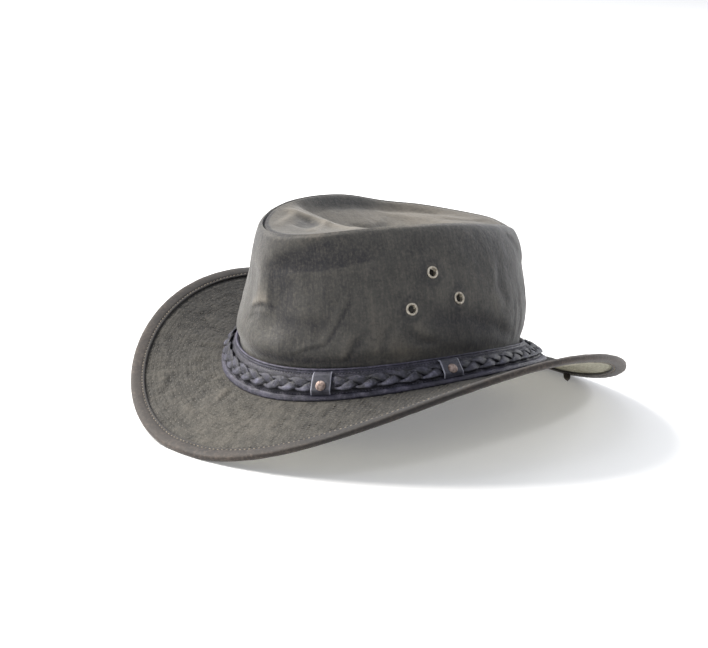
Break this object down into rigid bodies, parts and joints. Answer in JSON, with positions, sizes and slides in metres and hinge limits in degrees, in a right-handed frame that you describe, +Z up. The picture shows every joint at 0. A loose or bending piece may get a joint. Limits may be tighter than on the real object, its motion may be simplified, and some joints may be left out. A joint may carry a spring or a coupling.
{
  "type": "oilskin hat",
  "caption": "Wide-brimmed oilskin hat: creased cloth crown with vent eyelets, stitched brim turned up at the sides and a plaited leather band.",
  "frame": {"origin": "centre of the hat's bounding box in X and Y, at the height of the surface that the front and back of the brim rest on", "axes": "+Z up through the top of the crown; -Y towards the front of the hat; +X towards the wearer's left"},
  "size_m": [0.2982, 0.3342, 0.1335],
  "materials": {
    "crown_cloth": "waxed cotton, matt with a slight sheen",
    "brim_cloth": "waxed cotton in rows of stitching",
    "binding_tape": "folded cloth tape, matt",
    "strap_leather": "smooth dark leather, satin",
    "braid_leather": "plaited leather strands, satin",
    "keeper_leather": "smooth dark leather, satin, pale cut edges",
    "stud_metal": "antique brass, satin",
    "eyelet_metal": "antique brass, satin"
  },
  "bodies": {
    "root": {"crown_wall": "crown_cloth", "crown_tip": "crown_cloth", "brim": "brim_cloth", "brim_binding": "binding_tape", "band_strap": "strap_leather", "band_braid": "braid_leather", "band_keeper_1": "keeper_leather", "band_stud_1": "stud_metal", "band_keeper_2": "keeper_leather", "band_stud_2": "stud_metal", "band_keeper_3": "keeper_leather", "band_stud_3": "stud_metal", "band_keeper_4": "keeper_leather", "band_stud_4": "stud_metal", "eyelet_left_1": "eyelet_metal", "eyelet_left_2": "eyelet_metal", "eyelet_left_3": "eyelet_metal", "eyelet_right_1": "eyelet_metal", "eyelet_right_2": "eyelet_metal", "eyelet_right_3": "eyelet_metal"}
  },
  "joints": []
}
